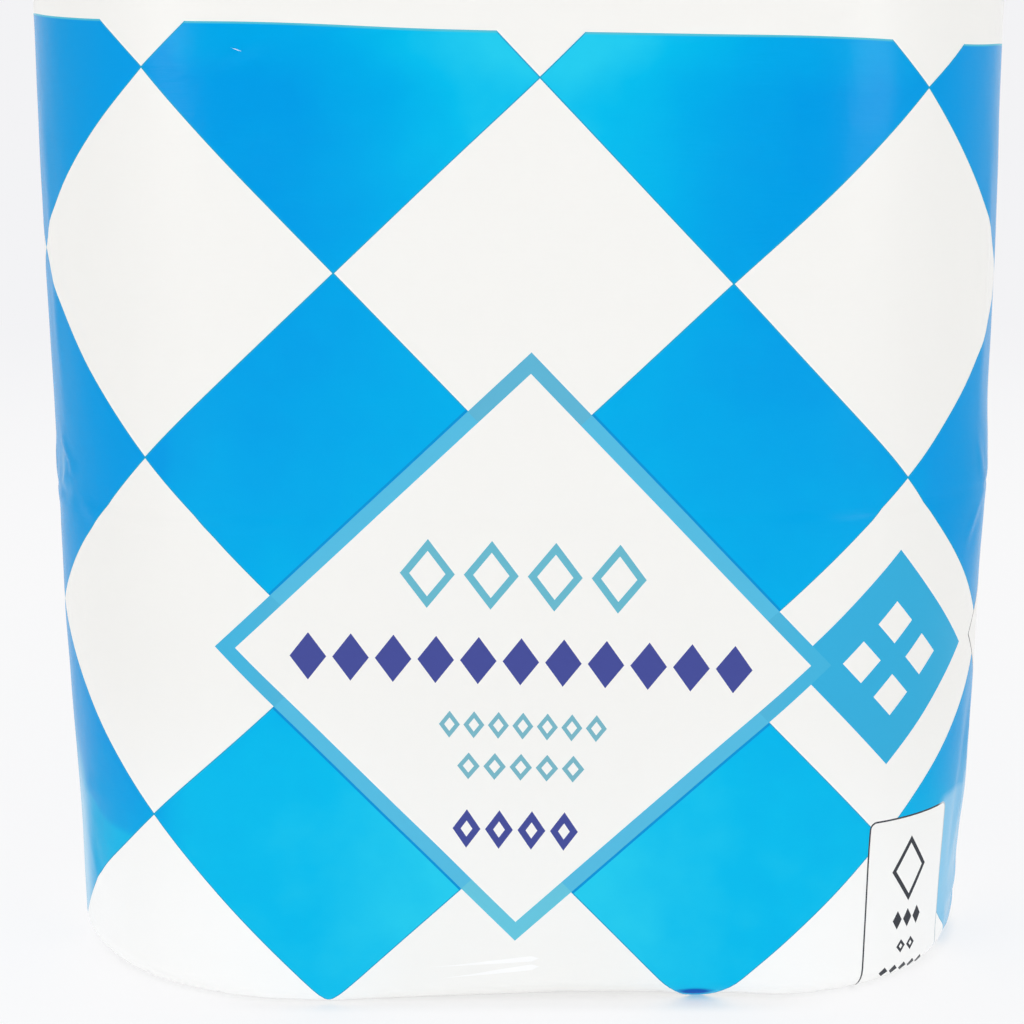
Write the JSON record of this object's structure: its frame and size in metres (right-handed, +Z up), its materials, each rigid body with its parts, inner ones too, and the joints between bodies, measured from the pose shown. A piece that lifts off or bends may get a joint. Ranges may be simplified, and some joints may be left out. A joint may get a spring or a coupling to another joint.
{
  "type": "toilet paper roll pack",
  "caption": "Upright pack of toilet rolls in one sealed printed film wrap, with rounded ends, a waist between the layers and folded, gathered ends.",
  "frame": {"origin": "middle of the underside, on the surface the pack stands on", "axes": "+X to the viewer's right along the two rolls, -Y towards the printed front, +Z up along the rolls"},
  "size_m": [0.2, 0.1, 0.206],
  "materials": {
    "printed_film": "thin glossy polythene film over soft paper, white with a blue lozenge check"
  },
  "bodies": {
    "root": {"wrapped_pack": "printed_film"}
  },
  "joints": []
}
